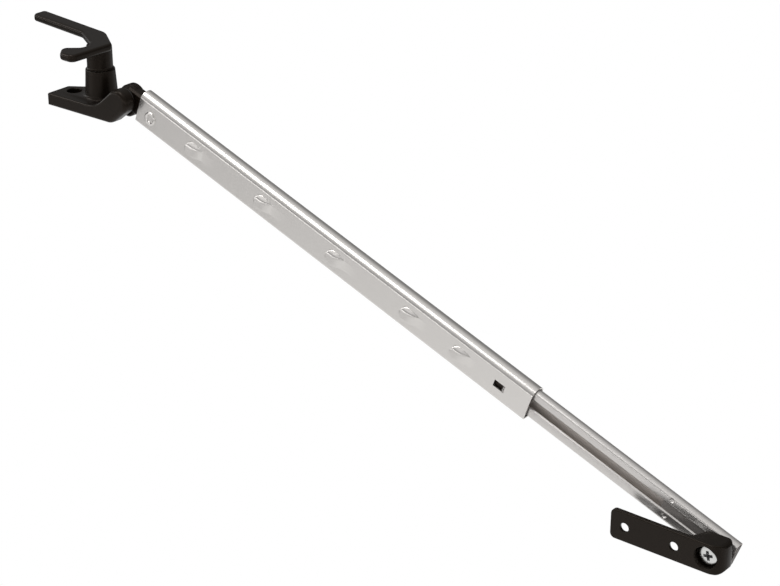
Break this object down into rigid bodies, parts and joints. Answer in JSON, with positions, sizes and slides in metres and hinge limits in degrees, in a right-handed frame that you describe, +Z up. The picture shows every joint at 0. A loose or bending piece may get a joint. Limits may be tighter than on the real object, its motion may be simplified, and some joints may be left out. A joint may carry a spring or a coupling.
{
  "type": "window stay",
  "caption": "Telescopic ratchet window stay: a base with a turn catch, a silver sliding arm on a knuckle and a pivoting end bracket.",
  "frame": {"origin": "on the catch spindle's axis, in the plane of the base's underside", "axes": "+X along the base towards the arm, +Y from the straight front face to the back, +Z up along the catch spindle"},
  "size_m": [0.5677, 0.0559, 0.2039],
  "materials": {
    "black": "satin moulded",
    "silver": "satin anodised",
    "zinc": "bright zinc plate",
    "spring_steel": "plain steel",
    "nylon": "natural"
  },
  "bodies": {
    "base": {"base": "black", "knuckle_pin": "spring_steel", "spring_washer": "spring_steel"},
    "handle": {"catch_handle": "black", "spindle_screw": "zinc", "spindle_washer": "zinc"},
    "arm": {"arm_plug": "black", "plug_rivet": "silver", "outer_sleeve": "silver", "knuckle_washer": "nylon", "mouth_guide": "black"},
    "slide": {"inner_channel": "silver", "slide_shoe": "nylon", "pawl_pin": "spring_steel", "pawl_spring": "spring_steel", "end_insert": "zinc", "pivot_screw": "zinc", "pivot_bush": "zinc", "pivot_washer": "zinc"},
    "pawl": {"pawl": "spring_steel"},
    "bracket": {"end_bracket": "black"}
  },
  "joints": [
    {"name": "handle_turn", "type": "hinge", "parent": "base", "child": "handle", "pos_m": [0, 0, 0.03], "axis": [0, 0, 1], "range_deg": [-90, 0]},
    {"name": "knuckle", "type": "hinge", "parent": "base", "child": "arm", "pos_m": [0.0328, -0.00344, 0.016], "axis": [0, 1, 0], "range_deg": [-50, 60]},
    {"name": "arm_slide", "type": "slide", "parent": "arm", "child": "slide", "axis": [0.9379, 0, -0.3469], "range_m": [-0.122, 0.04026]},
    {"name": "pawl_click", "type": "hinge", "parent": "slide", "child": "pawl", "pos_m": [0.23726, -0.0041, -0.05963], "axis": [-0.3469, 0, -0.9379], "range_deg": [0, 1.4], "stiffness_Nm_per_rad": 0.05, "springref_deg": 1.4},
    {"name": "bracket_pivot", "type": "hinge", "parent": "slide", "child": "bracket", "pos_m": [0.47635, -0.01434, -0.14743], "axis": [0, 1, 0], "range_deg": [-100, 100]}
  ]
}
